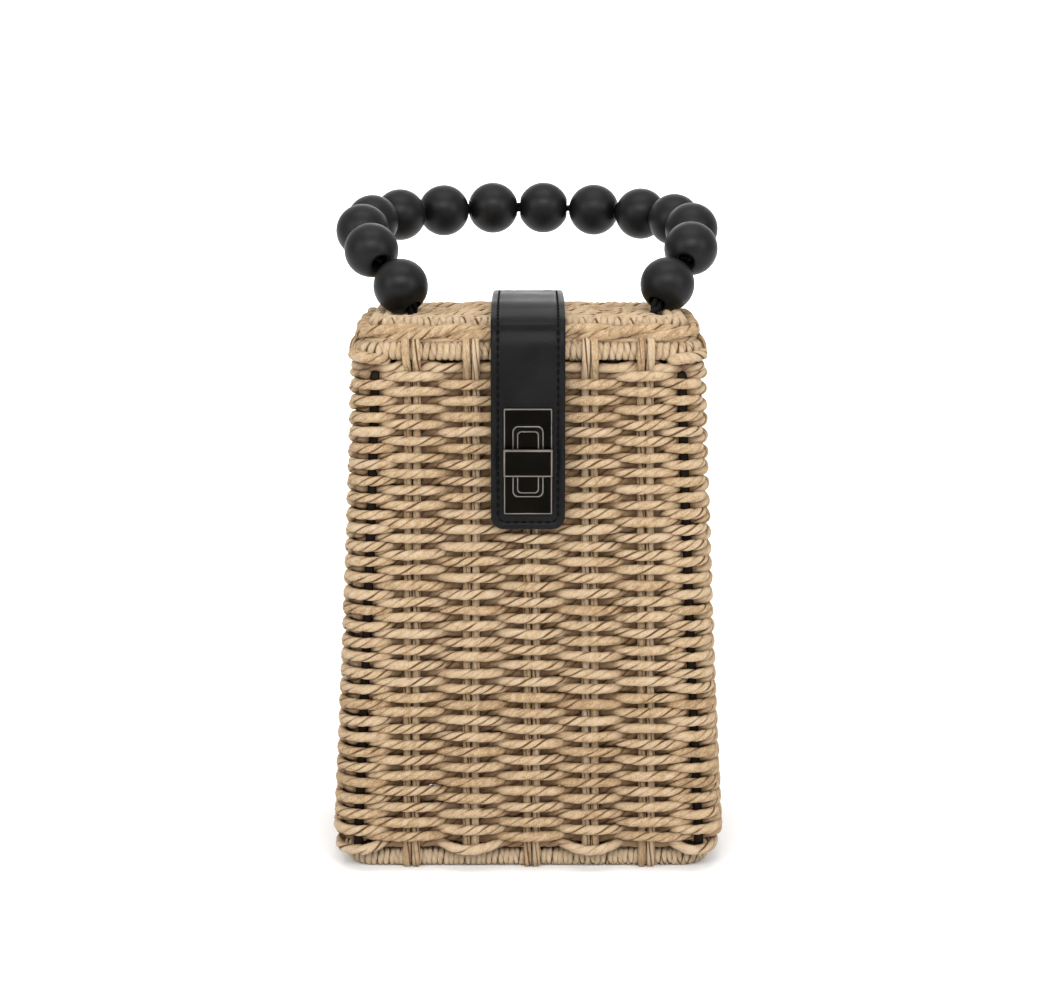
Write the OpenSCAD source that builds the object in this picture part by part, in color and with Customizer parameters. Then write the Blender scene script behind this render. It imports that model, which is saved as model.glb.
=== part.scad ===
// Box-shaped clutch purse: a woven paper-rope basket with a hinged woven lid,
// a leather strap with a turn lock, and a handle of fourteen large beads.
// Frame: origin in the middle of the base's underside, +X to the wearer's right
// of the front, +Y to the back, +Z up. Millimetres.

/* [Basket] */
// Height from the table to the top of the basket's rim
rim_top = 212.5; // [210:0.1:220]
// Width across the top rim, side to side
top_width = 142; // [130:1:160]
// Depth across the top rim, front to back
top_depth = 82; // [74:1:96]
// How far each side spreads out from the top down to the base
spread = 9.4; // [6:0.1:12]
// Thickness of the woven wall
wall = 6.5; // [5:0.1:8]
// Radius of the basket's upright corners, outside
corner = 13; // [11:0.5:18]

/* [Rims] */
// Radius of the rope-wrapped top rim
rim_r = 4; // [3.8:0.1:5]
// Radius of the rope-wrapped rim around the base
foot_r = 3.7; // [3:0.1:4.2]
// How far the base rim stands in from the spread of the walls
foot_inset = 9.4; // [8:0.1:11]
// Radius of the steel wires inside the rims
wire_r = 1.6; // [1.2:0.1:2]

/* [Stakes] */
// Distance from one pair of upright stakes to the next
stake_pitch = 23; // [20:0.5:24]
// Distance between the two strands of a pair
pair_gap = 3.7; // [3:0.1:4.5]
// Radius of one stake strand
stake_r = 1.2; // [0.9:0.1:1.3]

/* [Lid] */
// How far the lid's border stands in from the top rim
lid_inset = 1.6; // [1.5:0.1:3]
// Radius of the lid's rope border
border_r = 3.8; // [3.5:0.1:4]
// Height of the lid's crown above the top rim
crown = 11; // [10.5:0.5:13]
// Radius of the lid's domed surface
dome_r = 420; // [350:10:600]
// Thickness of the lid's woven panel
panel = 4.5; // [3.5:0.1:5]

/* [Strap] */
// Width of the leather strap
strap_width = 29; // [24:1:34]
// Thickness of the strap's outer leather
face_t = 1.4; // [1:0.1:1.8]
// Thickness of the strap's lining leather
lining_t = 1; // [0.8:0.1:1.4]
// Length of the part that hangs below the fold
flap_length = 79; // [70:0.5:90]

/* [Lock] */
// Width of the lock's front plate
plate_width = 19.6; // [17:0.1:22]
// Height of the lock's front plate
plate_height = 41.6; // [36:0.1:44]
// Width of the turning bar, end to end
bar_width = 19.2; // [16:0.1:19.6]
// Height of the turning bar
bar_height = 10.8; // [9:0.1:12]
// Height of the lock's turning axis above the table
lock_z = 167; // [163:0.1:170]

/* [Handle] */
// Diameter of each bead
bead_d = 22.1; // [20:0.1:22.2]
// Distance from one bead's centre to the next along the cord
bead_pitch = 22.4; // [22.3:0.1:23]
// Radius of the bore through each bead
bore_r = 3.6; // [3:0.1:4]
// Radius of the doubled cord inside the beads
cord_r = 2.2; // [1.5:0.1:2.3]
// Angle that the loosely strung handle leans sideways
handle_yaw = 4.4; // [0:0.1:6]

/* [Hidden] */

straw = [0.78, 0.64, 0.46];
dark_straw = [0.66, 0.52, 0.36];
black = [0.05, 0.05, 0.055];
steel = [0.6, 0.6, 0.62];
gunmetal = [0.2, 0.2, 0.21];

// small gap between pieces that move past each other
gap = 0.3;
$fn = 48;

// half sizes of the basket's outline: at the top, and at its widest near the base
half_w = top_width / 2;
half_d = top_depth / 2;
wall_low = 2 * foot_r + 0.1;
wall_belly = 17;
wall_top = rim_top - 2 * rim_r - 2.2;
belly = spread * 0.92;

// centre lines of the three rims: half width, half depth, height, corner radius
rim_line = [half_w - rim_r, half_d - rim_r, rim_top - rim_r, corner - rim_r];
foot_line = [half_w + spread - foot_inset - 0.8, half_d + spread - foot_inset - 0.8, foot_r, 9];
border_line = [half_w - lid_inset - border_r, half_d - lid_inset - border_r,
    rim_top + gap + 0.1 + border_r, corner - border_r];

// the lid turns about the back of the top rim
hinge_y = rim_line[1];
hinge_z = rim_line[2];
loop_x = 35.3;
loop_r = 1.4;
loop_line = rim_r + 0.1 + loop_r;

// lid surface: a wide sphere whose crown is over the middle of the bag
dome_top = rim_top + crown;
// depth of the lid's straight stakes below its surface near the front and back edges
lid_stake_drop = 1.95;
function dome(x, y) = dome_top - dome_r + sqrt(dome_r * dome_r - x * x - y * y);

// strap: the fold that the flap turns about, and where the flap hangs
strap_t = face_t + lining_t;
fold_y = -(half_d + 4.4);
fold_z = rim_top + 6.4;
// height of the strap's underside above the lid's surface
strap_rise = 0.9;
// where the strap leaves the lid's surface and begins to bend down to the fold
bend_y = -28;
flap_back = fold_y + strap_t / 2;
flap_front = fold_y - strap_t / 2;
strap_end_y = 24;
end_r = 5;
rivet_x = 8;
rivet_y = 20;
rivet_r = 1.4;

// lock
plate_t = 1.5;
slot_w = 12.2;
slot_h = 28.3;
slot_r = 2;
block_w = 9.4;
block_h = 25;
block_r = 1.8;
flange_w = 14;
flange_h = 31;
block_front = flap_front - 2.8;
bar_back = block_front - 0.2;
bar_t = 3.2;
bar_bevel = 0.8;
spindle_r = 2;
spindle_in = 1.5;
base_plate_y = flap_back + 1.2;
base_plate = [18, 37, 1];
backing_plate = [16, 34, 1];
lock_rivet_r = 1.2;
lock_rivet_rise = 14;
// the backing plate bears on the inside of the wall
backing_y = base_plate_y + 8.3;

// handle: headings of the cord from each bead to the next one, from the middle bead outwards
headings = [[-12, -2], [-30, -3], [-57, -4], [-79, -7], [-99, -17], [-130, -37]];
handle_x = 2.7;
handle_y = -2.3;
bead_base = rim_top + crown - 2.9 + bead_d / 2;
function step(h) = bead_pitch * [cos(h[1]) * cos(h[0]), cos(h[1]) * sin(h[0]), sin(h[1])];
function chain(k) = k == 0 ? [bead_pitch / 2, 0, 0] : chain(k - 1) + step(headings[k - 1]);
end_bead = chain(6);
function mirrored(p) = [-p[0], p[1], p[2]];
function placed(p) = [handle_x, handle_y, bead_base]
    + [p[0] * cos(handle_yaw) - (p[1] - end_bead[1]) * sin(handle_yaw),
       p[0] * sin(handle_yaw) + (p[1] - end_bead[1]) * cos(handle_yaw),
       p[2] - end_bead[2]];
// centre of bead n, from 1 at the left end to 14 at the right end
function centre(n) = placed(n <= 7 ? mirrored(chain(7 - n)) : chain(n - 8));
function unit(v) = v / norm(v);
// how far the cord runs straight on each side of a bead's centre
cord_straight = 8;
// washer and knot under the lid at each end of the cord; the washer clears the dome's slope
washer_r = 5;
washer_t = 0.8;
washer_drop = 1.8;
knot_r = 3.3;
// where the cord's two ends come up through the lid
anchor_left = [-46.5, -8.5, dome(46.5, 8.5)];
anchor_right = [50.5, -6, dome(50.5, 6)];
// direction of the bore of bead n
function bore_dir(n) =
    n == 1 ? unit(unit(centre(1) - anchor_left) + unit(centre(2) - centre(1)))
    : n == 14 ? unit(unit(centre(13) - centre(14)) * -1 + unit(anchor_right - centre(14)))
    : unit(centre(n + 1) - centre(n - 1));

// ---- shapes that repeat ----

// rectangle with round corners, from squares and circles
module rounded(w, d, r) {
    square([w - 2 * r, d], center = true);
    square([w, d - 2 * r], center = true);
    for (x = [-1, 1], y = [-1, 1])
        translate([x * (w / 2 - r), y * (d / 2 - r)]) circle(r = r);
}

// rod from one point to another
module rod(p, q, r) {
    v = q - p;
    translate(p) rotate([0, acos(v[2] / norm(v)), atan2(v[1], v[0])]) cylinder(h = norm(v), r = r);
}

// closed round-cornered ring of round section: line = [half width, half depth, height, corner]
module ring(line, r) {
    w = line[0];
    d = line[1];
    c = line[3];
    translate([0, 0, line[2]]) {
        for (s = [-1, 1]) {
            translate([-(w - c), s * d, 0]) rotate([0, 90, 0]) cylinder(h = 2 * (w - c), r = r);
            translate([s * w, d - c, 0]) rotate([90, 0, 0]) cylinder(h = 2 * (d - c), r = r);
        }
        for (k = [0:3])
            translate([(k == 0 || k == 3 ? 1 : -1) * (w - c), (k < 2 ? 1 : -1) * (d - c), 0])
                rotate(k * 90) rotate_extrude(angle = 90) translate([c, 0]) circle(r = r);
    }
}

// thin round-cornered slice of a basket outline at height z
module slice(w, d, r, z) {
    for (x = [-1, 1], y = [-1, 1])
        translate([x * (w - r), y * (d - r), z]) cylinder(r = r, h = 0.02, $fn = 32);
}

// tube swept along a list of points, eight sided
module tube(points, r) {
    sides = 8;
    n = len(points);
    function along(i) = unit(i == 0 ? points[1] - points[0]
        : i == n - 1 ? points[n - 1] - points[n - 2]
        : unit(points[i + 1] - points[i]) + unit(points[i] - points[i - 1]));
    function across(i) = unit(cross(along(i), [0.03, 0.05, 1]));
    rings = [for (i = [0:n - 1], k = [0:sides - 1])
        let (a = along(i), u = across(i), v = cross(a, u), t = 360 * k / sides)
        points[i] + r * (cos(t) * u + sin(t) * v)];
    quads = [for (i = [0:n - 2], k = [0:sides - 1])
        [i * sides + k, (i + 1) * sides + k, (i + 1) * sides + (k + 1) % sides, i * sides + (k + 1) % sides]];
    ends = [[for (k = [0:sides - 1]) k], [for (k = [sides - 1:-1:0]) (n - 1) * sides + k]];
    polyhedron(points = rings, faces = concat(ends, quads));
}

// ---- basket ----

module base_weave() {
    color(dark_straw) linear_extrude(5)
        rounded(2 * (foot_line[0] - foot_r - 0.1), 2 * (foot_line[1] - foot_r - 0.1), foot_line[3] - foot_r);
}

module base_rim_wrap() {
    color(straw) difference() {
        ring(foot_line, foot_r);
        ring(foot_line, wire_r);
    }
}

module base_rim_wire() {
    color(steel) ring(foot_line, wire_r);
}

// one strand of a stake pair, leaning with the wall; s is the wall's side, t the place along it
module stake_strand(side, s, t, r) {
    low = (side == "x" ? half_w : half_d) + belly * 0.97 - wall / 2 - 0.4;
    high = (side == "x" ? half_w : half_d) - wall / 2 - 0.6;
    p = side == "x" ? [s * low, t, wall_low] : [t, s * low, wall_low];
    q = side == "x" ? [s * high, t, wall_top + 1.4] : [t, s * high, wall_top + 1.4];
    rod(p, q, r);
}

module stake_row(side, s, count, r) {
    for (i = [0:count - 1], e = [-0.5, 0.5])
        stake_strand(side, s, (i - (count - 1) / 2) * stake_pitch + e * pair_gap, r);
}

module corner_rods(r) {
    for (x = [-1, 1], y = [-1, 1]) {
        in_top = corner - (corner - wall / 2) * sqrt(0.5);
        low = [x * (half_w + belly - in_top), y * (half_d + belly - in_top), wall_low];
        high = [x * (half_w - in_top), y * (half_d - in_top), wall_top + 1];
        rod(low, high, r);
    }
}

// notches in the wall's back edge, where the hinge loops pass under the rim
module hinge_notches() {
    for (x = [-loop_x, loop_x])
        translate([x - 4, hinge_y, hinge_z]) rotate([0, 90, 0]) cylinder(h = 8, r = loop_line + loop_r + 1.8);
}

// recess in the front of the wall, which takes the lock's base plate
module base_plate_seat() {
    translate([0, base_plate_y - 0.5, lock_z])
        cube([base_plate[0] + 0.4, base_plate[2] + 2.2, base_plate[1] + 0.4], center = true);
}

// the two ways through the front of the wall for the lock's rivets
module lock_rivet_ways(r) {
    for (s = [-1, 1])
        translate([0, base_plate_y - 3, lock_z + s * lock_rivet_rise])
            rotate([-90, 0, 0]) cylinder(h = 16, r = r);
}

module wall_weave() {
    color(straw) difference() {
        union() {
            hull() {
                slice(half_w + belly - 3, half_d + belly - 3, corner, wall_low);
                slice(half_w + belly, half_d + belly, corner, wall_belly);
            }
            hull() {
                slice(half_w + belly, half_d + belly, corner, wall_belly);
                slice(half_w - 0.6, half_d - 0.6, corner, wall_top);
            }
        }
        hull() {
            slice(half_w + belly - wall, half_d + belly - wall, corner - 5, wall_low - 1);
            slice(half_w + belly - wall, half_d + belly - wall, corner - 5, wall_belly);
            slice(half_w - 0.6 - wall, half_d - 0.6 - wall, corner - 5, wall_top + 1);
        }
        for (s = [-1, 1]) {
            stake_row("y", s, 5, stake_r + 0.25, $fn = 6);
            stake_row("x", s, 3, stake_r + 0.25, $fn = 6);
        }
        corner_rods(wire_r + 0.3, $fn = 6);
        hinge_notches();
        base_plate_seat();
        lock_rivet_ways(lock_rivet_r + 0.05);
    }
}

module corner_posts() {
    color(steel) corner_rods(wire_r);
}

module front_stakes() {
    color(dark_straw) difference() {
        stake_row("y", -1, 5, stake_r);
        base_plate_seat();
        lock_rivet_ways(lock_rivet_r + 0.15);
    }
}

module back_stakes() {
    color(dark_straw) stake_row("y", 1, 5, stake_r);
}

module left_stakes() {
    color(dark_straw) stake_row("x", -1, 3, stake_r);
}

module right_stakes() {
    color(dark_straw) stake_row("x", 1, 3, stake_r);
}

module top_rim_wrap() {
    color(straw) difference() {
        ring(rim_line, rim_r);
        ring(rim_line, wire_r);
    }
}

module top_rim_wire() {
    color(steel) ring(rim_line, wire_r);
}

// flat plate that takes the turn lock, set into the front wall
module lock_base_plate() {
    color(gunmetal) difference() {
        translate([0, base_plate_y + 0.9, lock_z]) rotate([90, 0, 0])
            linear_extrude(base_plate[2]) rounded(base_plate[0], base_plate[1], 2);
        lock_rivet_ways(lock_rivet_r);
    }
}

// plate inside the basket that the rivets pull up against
module lock_backing_plate() {
    color(gunmetal) difference() {
        translate([0, backing_y + backing_plate[2], lock_z]) rotate([90, 0, 0])
            linear_extrude(backing_plate[2]) rounded(backing_plate[0], backing_plate[1], 2);
        lock_rivet_ways(lock_rivet_r);
    }
}

module lock_base_rivets() {
    reach = backing_y + backing_plate[2] - base_plate_y + 0.1;
    color(gunmetal) for (s = [-1, 1])
        translate([0, base_plate_y - 0.1, lock_z + s * lock_rivet_rise]) rotate([-90, 0, 0]) {
            cylinder(h = reach, r = lock_rivet_r);
            translate([0, 0, reach]) cylinder(h = 0.7, r = lock_rivet_r + 1);
        }
}

// ---- lid ----

module lid_border() {
    color(straw) difference() {
        ring(border_line, border_r);
        ring(border_line, wire_r);
    }
}

module lid_border_wire() {
    color(steel) ring(border_line, wire_r);
}

module lid_stake_rods(r) {
    for (i = [-2:2], e = [-0.5, 0.5]) {
        x = i * stake_pitch + e * pair_gap;
        z = dome(x, 28) - lid_stake_drop;
        y = border_line[1] - border_r - 0.1;
        rod([x, -y, z], [x, y, z], r);
    }
}

module cord_holes() {
    for (a = [anchor_left, anchor_right])
        translate([a[0], a[1], 200]) cylinder(h = 40, r = cord_r + 0.3);
}

module rivet_holes() {
    for (x = [-rivet_x, rivet_x])
        translate([x, rivet_y, 200]) cylinder(h = 40, r = rivet_r);
}

// domed panel inside the border
module lid_weave() {
    color(straw) difference() {
        intersection() {
            translate([0, 0, rim_top]) linear_extrude(20)
                rounded(2 * (border_line[0] - border_r - 0.05), 2 * (border_line[1] - border_r - 0.05),
                    border_line[3] - border_r + 2);
            translate([0, 0, dome_top - dome_r]) sphere(r = dome_r, $fn = 96);
        }
        translate([0, 0, dome_top - dome_r - panel]) sphere(r = dome_r, $fn = 96);
        lid_stake_rods(stake_r + 0.2);
        cord_holes();
        rivet_holes();
    }
}

module lid_stakes() {
    color(dark_straw) difference() {
        lid_stake_rods(stake_r);
        cord_holes();
        rivet_holes();
    }
}

// rope link around the back of the top rim and the back of the lid's border
module hinge_loop(x) {
    rise = [border_line[1] - hinge_y, border_line[2] - hinge_z];
    length = norm(rise);
    color(dark_straw) translate([x, hinge_y, hinge_z]) rotate([atan2(rise[1], rise[0]) - 90, 0, 0])
        rotate([90, 0, 90]) {
            for (s = [-1, 1])
                translate([s * loop_line, 0, 0]) rotate([-90, 0, 0]) cylinder(h = length, r = loop_r);
            for (end = [0, 1])
                translate([0, end * length, 0]) rotate(180 * (1 - end))
                    rotate_extrude(angle = 180) translate([loop_line, 0]) circle(r = loop_r);
        }
}

module hinge_loop_left() {
    hinge_loop(-loop_x);
}

module hinge_loop_right() {
    hinge_loop(loop_x);
}

// outline of the strap's run over the lid, between two offsets from its underside
bend_z = dome(0, bend_y) + strap_rise;
function strap_z(y) = y > bend_y ? dome(0, y) + strap_rise
    : bend_z - (bend_z - fold_z) * (1 - cos(90 * (bend_y - y) / (bend_y - fold_y)));
function strap_side(h) = [for (k = [0:24])
    let (y = strap_end_y + (fold_y - 3 - strap_end_y) * k / 24, yy = max(y, fold_y + 0.4),
        slope = (strap_z(yy + 0.3) - strap_z(yy - 0.3)) / 0.6, s = sqrt(1 + slope * slope))
    [y - slope * h / s, strap_z(yy) + h / s]];

module strap_run(low, high) {
    difference() {
        translate([-strap_width / 2, 0, 0]) rotate([90, 0, 90]) linear_extrude(strap_width)
            polygon(concat(strap_side(low), [for (k = [24:-1:0]) strap_side(high)[k]]));
        // clear of the fold and of everything that hangs in front of it
        translate([0, fold_y, fold_z]) rotate([0, 90, 0])
            cylinder(h = 50, r = strap_t / 2 + gap + 0.15, center = true);
        translate([-25, fold_y - 20, fold_z - 20]) cube([50, 20, 60]);
        rivet_holes();
    }
}

module strap_top() {
    color(black) strap_run(lining_t, strap_t);
}

module strap_top_lining() {
    color(black) strap_run(0, lining_t);
}

module strap_rivets() {
    foot = dome(rivet_x, rivet_y) - panel - 0.8;
    head = dome(0, rivet_y) + strap_rise + strap_t + 0.15;
    color(gunmetal) for (x = [-rivet_x, rivet_x]) translate([x, rivet_y, 0]) {
        translate([0, 0, foot - 0.4]) cylinder(h = head - foot + 0.7, r = rivet_r);
        translate([0, 0, head]) cylinder(h = 0.6, r1 = 3.4, r2 = 2.6);
        translate([0, 0, foot - 0.8]) cylinder(h = 0.8, r = 3);
    }
}

// end of the handle cord, from its knot up through the lid and the end bead
module cord_tail(n, a) {
    d = n == 1 ? bore_dir(1) : -bore_dir(14);
    color(black) tube([[a[0], a[1], a[2] - panel - washer_drop - 1.6], [a[0], a[1], a[2] - 1.5],
        centre(n) - 9.6 * d, centre(n), centre(n) + cord_straight * d], cord_r);
}

module cord_tail_left() {
    cord_tail(1, anchor_left);
}

module cord_tail_right() {
    cord_tail(14, anchor_right);
}

module cord_washer(a) {
    color(gunmetal) translate([a[0], a[1], a[2] - panel - washer_drop]) difference() {
        cylinder(h = washer_t, r = washer_r);
        translate([0, 0, -1]) cylinder(h = 3, r = cord_r + 0.3);
    }
}

module cord_washer_left() {
    cord_washer(anchor_left);
}

module cord_washer_right() {
    cord_washer(anchor_right);
}

module cord_knot(a) {
    color(black) translate([a[0], a[1], a[2] - panel - washer_drop - knot_r]) difference() {
        sphere(r = knot_r);
        translate([0, 0, 1.6]) cylinder(h = 5, r = cord_r + 0.1);
    }
}

module cord_knot_left() {
    cord_knot(anchor_left);
}

module cord_knot_right() {
    cord_knot(anchor_right);
}

// ---- strap flap and lock ----

// sheet of the flap between two depths, with round lower corners, and a slot for the lock
module flap_sheet(front, back, hole_w, hole_h) {
    difference() {
        translate([0, back, fold_z - flap_length]) rotate([90, 0, 0]) linear_extrude(back - front) {
            translate([-strap_width / 2, end_r]) square([strap_width, flap_length - end_r]);
            translate([-strap_width / 2 + end_r, 0]) square([strap_width - 2 * end_r, end_r]);
            for (x = [-1, 1]) translate([x * (strap_width / 2 - end_r), end_r]) circle(r = end_r);
        }
        translate([0, back + 1, lock_z]) rotate([90, 0, 0]) linear_extrude(back - front + 2)
            rounded(hole_w, hole_h, slot_r);
    }
}

module strap_flap() {
    color(black) union() {
        flap_sheet(flap_front, flap_front + face_t, slot_w, slot_h);
        intersection() {
            translate([0, fold_y, fold_z]) rotate([0, 90, 0])
                cylinder(h = strap_width, r = strap_t / 2, center = true);
            translate([-25, flap_front - 1, fold_z]) cube([50, face_t + 1, 10]);
        }
    }
}

module strap_flap_lining() {
    color(black) union() {
        flap_sheet(flap_front + face_t, flap_back, flange_w + 0.4, flange_h + 0.4);
        intersection() {
            translate([0, fold_y, fold_z]) rotate([0, 90, 0])
                cylinder(h = strap_width, r = strap_t / 2, center = true);
            translate([-25, flap_front + face_t, fold_z]) cube([50, 10, 10]);
        }
    }
}

module lock_plate() {
    color(gunmetal) translate([0, flap_front, lock_z]) rotate([90, 0, 0]) difference() {
        linear_extrude(plate_t) square([plate_width, plate_height], center = true);
        translate([0, 0, -1]) linear_extrude(plate_t + 2) rounded(slot_w, slot_h, slot_r);
    }
}

// raised block that shows through the plate's slot and carries the spindle
module lock_block() {
    color(gunmetal) difference() {
        union() {
            translate([0, flap_back, lock_z]) rotate([90, 0, 0])
                linear_extrude(lining_t) rounded(flange_w, flange_h, slot_r);
            translate([0, flap_back - lining_t, lock_z]) rotate([90, 0, 0])
                linear_extrude(flap_back - lining_t - block_front) rounded(block_w, block_h, block_r);
        }
        translate([0, flap_back + 1, lock_z]) rotate([90, 0, 0]) cylinder(h = 12, r = spindle_r + 0.05);
    }
}

module toggle_bar() {
    color(gunmetal) difference() {
        hull() {
            translate([0, bar_back, lock_z]) rotate([90, 0, 0]) linear_extrude(bar_t - bar_bevel)
                square([bar_width, bar_height], center = true);
            translate([0, bar_back, lock_z]) rotate([90, 0, 0]) linear_extrude(bar_t)
                square([bar_width - 2 * bar_bevel, bar_height - 2 * bar_bevel], center = true);
        }
        translate([0, bar_back + 1, lock_z]) rotate([90, 0, 0]) cylinder(h = 1 + spindle_in, r = spindle_r);
    }
}

module toggle_spindle() {
    color(steel) translate([0, flap_back - 0.2, lock_z]) rotate([90, 0, 0])
        cylinder(h = flap_back - 0.2 - bar_back + spindle_in, r = spindle_r);
}

// ---- handle ----

module bead(n) {
    d = bore_dir(n);
    color(black) translate(centre(n)) rotate([0, acos(d[2]), atan2(d[1], d[0])]) difference() {
        sphere(d = bead_d);
        cylinder(h = 2 * bead_d, r = bore_r, center = true);
    }
}

// doubled cord through beads 2 to 13, straight inside each bead and bending between them
module handle_cord() {
    color(black) tube([for (n = [2:13], s = [-1, 1]) centre(n) + s * cord_straight * bore_dir(n)], cord_r);
}

// ---- nodes ----

base_weave();
base_rim_wrap();
base_rim_wire();
wall_weave();
corner_posts();
front_stakes();
back_stakes();
left_stakes();
right_stakes();
top_rim_wrap();
top_rim_wire();
lock_base_plate();
lock_backing_plate();
lock_base_rivets();
lid_border();
lid_border_wire();
lid_weave();
lid_stakes();
hinge_loop_left();
hinge_loop_right();
strap_top();
strap_top_lining();
strap_rivets();
cord_tail_left();
cord_tail_right();
cord_washer_left();
cord_washer_right();
cord_knot_left();
cord_knot_right();
bead(1);  // bead_01
bead(14);  // bead_14
strap_flap();
strap_flap_lining();
lock_plate();
lock_block();
toggle_bar();
toggle_spindle();
handle_cord();
bead(2);  // bead_02
bead(3);  // bead_03
bead(4);  // bead_04
bead(5);  // bead_05
bead(6);  // bead_06
bead(7);  // bead_07
bead(8);  // bead_08
bead(9);  // bead_09
bead(10);  // bead_10
bead(11);  // bead_11
bead(12);  // bead_12
bead(13);  // bead_13
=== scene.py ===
"""Looks of a woven box clutch: twisted paper rope, leather strap, turn lock and bead handle.

Lengths are in millimetres in the functions that build shapes, and turn into metres when a mesh is made.
"""
import math

import bpy
import numpy as np
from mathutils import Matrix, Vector


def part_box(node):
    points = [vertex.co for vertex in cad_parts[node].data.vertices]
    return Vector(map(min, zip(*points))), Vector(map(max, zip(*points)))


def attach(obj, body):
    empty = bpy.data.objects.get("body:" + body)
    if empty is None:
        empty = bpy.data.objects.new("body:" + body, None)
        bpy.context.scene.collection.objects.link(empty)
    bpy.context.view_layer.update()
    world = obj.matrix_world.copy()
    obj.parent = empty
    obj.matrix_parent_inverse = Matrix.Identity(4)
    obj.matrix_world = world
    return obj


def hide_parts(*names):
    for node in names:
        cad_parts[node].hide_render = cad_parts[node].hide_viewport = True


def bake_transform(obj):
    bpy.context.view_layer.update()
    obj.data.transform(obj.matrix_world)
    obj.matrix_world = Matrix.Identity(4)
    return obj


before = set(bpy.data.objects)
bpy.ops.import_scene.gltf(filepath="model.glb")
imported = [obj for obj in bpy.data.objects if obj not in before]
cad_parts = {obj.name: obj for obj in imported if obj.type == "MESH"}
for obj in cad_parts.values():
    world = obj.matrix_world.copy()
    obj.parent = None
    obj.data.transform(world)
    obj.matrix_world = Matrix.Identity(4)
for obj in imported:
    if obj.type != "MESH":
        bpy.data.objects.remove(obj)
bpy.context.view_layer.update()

MM = 0.001
rng = np.random.default_rng(11)


def node_box(name):
    """Lowest and highest corner of a CAD node, in millimetres."""
    low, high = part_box(name)
    return np.array(low) / MM, np.array(high) / MM


# ---- driving dimensions, from the frame ----

rim_low, rim_high = node_box("top_rim_wrap")
RIM_TOP = rim_high[2]
RIM_R = (rim_high[2] - rim_low[2]) / 2
HALF_W = rim_high[0]
HALF_D = rim_high[1]
foot_low, foot_high = node_box("base_rim_wrap")
FOOT_R = foot_high[2] / 2
# the wall's corner radius at the rim, how far it spreads below, and how deep its stakes stand in it
CORNER = 12.0
SPREAD = 9.9
WALL_MID = 4.4
# the stakes: their distance at the rim, what the spread adds, how many, and the gap within a pair
STAKE_PITCH = 22.8
STAKE_SPREAD = 1.05
FRONT_STAKES = 5
SIDE_STAKES = 3
PAIR_GAP = 3.6
# how far each stake stands from its even place: corner, front, corner, right, corner, back, corner, left
STAKE_SHIFT = [5.0, 0.4, 0.7, 1.5, 1.4, 0.3, -4.6, -0.6, 0.5, 0.3,
               0, 0.5, -0.7, 0.2, 0.9, -0.3, 0, 0.4, -0.5, 0.7]
CORNER_STAKES = (0, 6, 10, 16)
UP = np.array([0, 0, 1.0])

# ---- small tools ----


def unit(v):
    return v / np.maximum(np.linalg.norm(v, axis=-1, keepdims=True), 1e-9)


def run_along(path):
    """Distance of each point of a path from its start."""
    return np.concatenate([[0], np.cumsum(np.linalg.norm(np.diff(path, axis=0), axis=1))])


def wobble(s, length, amplitude, waves):
    """Smooth noise along a closed line: a few sines with random phase that fit its length."""
    total = np.zeros_like(s)
    for k in waves:
        total += rng.normal() * np.sin(2 * np.pi * (k * s / length + rng.random()))
    return amplitude * total / math.sqrt(len(waves))


def noise_along(s, spacing, closed):
    """Smooth random values of about unit size at distances s, changing over the spacing."""
    knots = max(4, int(s[-1] / spacing) + 1)
    values = rng.normal(size=knots + 1)
    if closed:
        values[-1] = values[0]
    t = s / (s[-1] + 1e-9) * knots
    i = np.minimum(t.astype(int), knots - 1)
    f = t - i
    f = f * f * (3 - 2 * f)
    return values[i] * (1 - f) + values[i + 1] * f


def spread(z):
    """How much further out the walls stand at height z than at the rim."""
    return SPREAD * np.clip(1 - z / RIM_TOP, 0, 1) ** 1.2


def outline(s, half_w, half_d, r):
    """Points and outward normals of a round-cornered rectangle at distances s along it.

    It starts in the middle of the front left corner and runs along the front to the right."""
    arc = math.pi * r / 2
    wide, deep = 2 * (half_w - r), 2 * (half_d - r)
    runs = [arc / 2, wide, arc, deep, arc, wide, arc, deep, arc / 2]
    starts = np.concatenate([[0], np.cumsum(runs)])
    s = np.mod(s, starts[-1])
    k = np.clip(np.searchsorted(starts, s, side="right") - 1, 0, len(runs) - 1)
    t = s - starts[k]
    points = np.zeros((len(s), 2))
    normals = np.zeros((len(s), 2))
    centres = {0: (-1, -1, -135), 2: (1, -1, -90), 4: (1, 1, 0), 6: (-1, 1, 90), 8: (-1, -1, 180)}
    for i, (cx, cy, start) in centres.items():
        m = k == i
        angle = np.radians(start) + t[m] / r
        normals[m] = np.stack([np.cos(angle), np.sin(angle)], -1)
        points[m] = np.array([cx * (half_w - r), cy * (half_d - r)]) + r * normals[m]
    sides = {1: ((0, -1), (1, 0)), 3: ((1, 0), (0, 1)), 5: ((0, 1), (-1, 0)), 7: ((-1, 0), (0, -1))}
    half = np.array([half_w, half_d])
    for i, (n, d) in sides.items():
        m = k == i
        n, d = np.array(n), np.array(d)
        begin = n * half - d * (half - r)
        points[m] = begin + t[m, None] * d
        normals[m] = n
    return points, normals


def outline_length(half_w, half_d, r):
    return 4 * (half_w + half_d - 2 * r) + 2 * math.pi * r


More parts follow.
